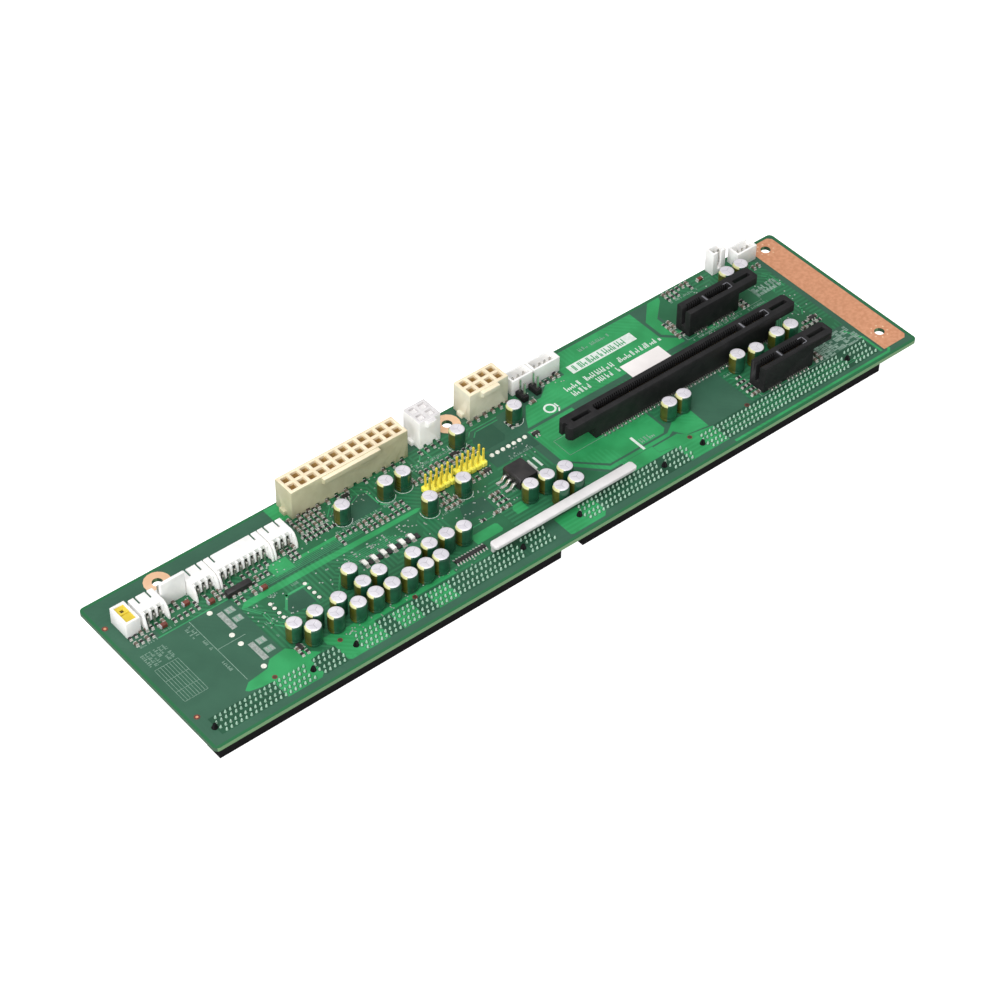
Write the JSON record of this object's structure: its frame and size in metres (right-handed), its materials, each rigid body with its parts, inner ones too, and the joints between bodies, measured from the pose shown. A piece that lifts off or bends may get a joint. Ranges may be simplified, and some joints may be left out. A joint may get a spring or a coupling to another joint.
{
  "type": "passive backplane board",
  "caption": "Long circuit board with edge-card sockets under its front edge and card slots, power headers, wafers and capacitors on its top face, held by screws.",
  "frame": {"origin": "midway between the two end screw holes, on the board's underside", "axes": "+X along the board towards the end with the copper strip, +Y from the socket edge to the header edge, +Z out of the component face"},
  "size_m": [0.3235, 0.0808, 0.024],
  "materials": {
    "board_mask": "solder mask over glass-epoxy laminate",
    "bare_copper": "bare copper, lightly tarnished",
    "black_plastic": "moulded, satin",
    "solder": "bright solder",
    "contact_gold": "gold-plated",
    "ivory_plastic": "moulded, satin",
    "white_plastic": "moulded, satin",
    "tinned_metal": "tin-plated",
    "yellow_plastic": "moulded, satin",
    "capacitor_sleeve": "printed shrink sleeve",
    "white_enamel": "white coating",
    "brown_resin": "moulded resin",
    "pale_resin": "tinned, pale"
  },
  "bodies": {
    "root": {"alarm_box": "white_plastic", "aux_power_header": "ivory_plastic", "aux_power_pins": "contact_gold", "board": "board_mask", "box_pins": "tinned_metal", "bus_box": "white_plastic", "capacitors": "capacitor_sleeve", "corner_box": "white_plastic", "diodes": "pale_resin", "end_wafer": "white_plastic", "fan_header": "white_plastic", "fan_pins": "tinned_metal", "front_card_slot": "black_plastic", "front_slot_contacts": "contact_gold", "ground_strip": "bare_copper", "host_socket_a": "black_plastic", "host_socket_b": "black_plastic", "host_socket_c": "black_plastic", "host_socket_d": "black_plastic", "host_tails_a": "solder", "host_tails_b": "solder", "host_tails_c": "solder", "host_tails_d": "solder", "jumper_pins": "contact_gold", "left_jumper_header": "black_plastic", "left_setup_header": "yellow_plastic", "left_wafer": "white_plastic", "long_card_slot": "black_plastic", "long_slot_contacts": "contact_gold", "main_power_header": "ivory_plastic", "main_power_pins": "contact_gold", "panel_wafer": "white_plastic", "rear_card_slot": "black_plastic", "rear_slot_contacts": "contact_gold", "regulator_body": "black_plastic", "regulator_leads": "tinned_metal", "regulator_tab": "tinned_metal", "resistor_array": "black_plastic", "right_jumper_header": "black_plastic", "right_setup_header": "yellow_plastic", "ring_pads": "bare_copper", "sensor_wafer": "white_plastic", "setup_pins": "contact_gold", "side_box": "white_plastic", "side_box_insert": "yellow_plastic", "speaker_box": "white_plastic", "square_power_header": "white_plastic", "square_power_pins": "contact_gold", "stiffener_bar": "white_enamel", "tantalum_capacitors": "brown_resin", "wafer_pins": "tinned_metal"}
  },
  "joints": []
}
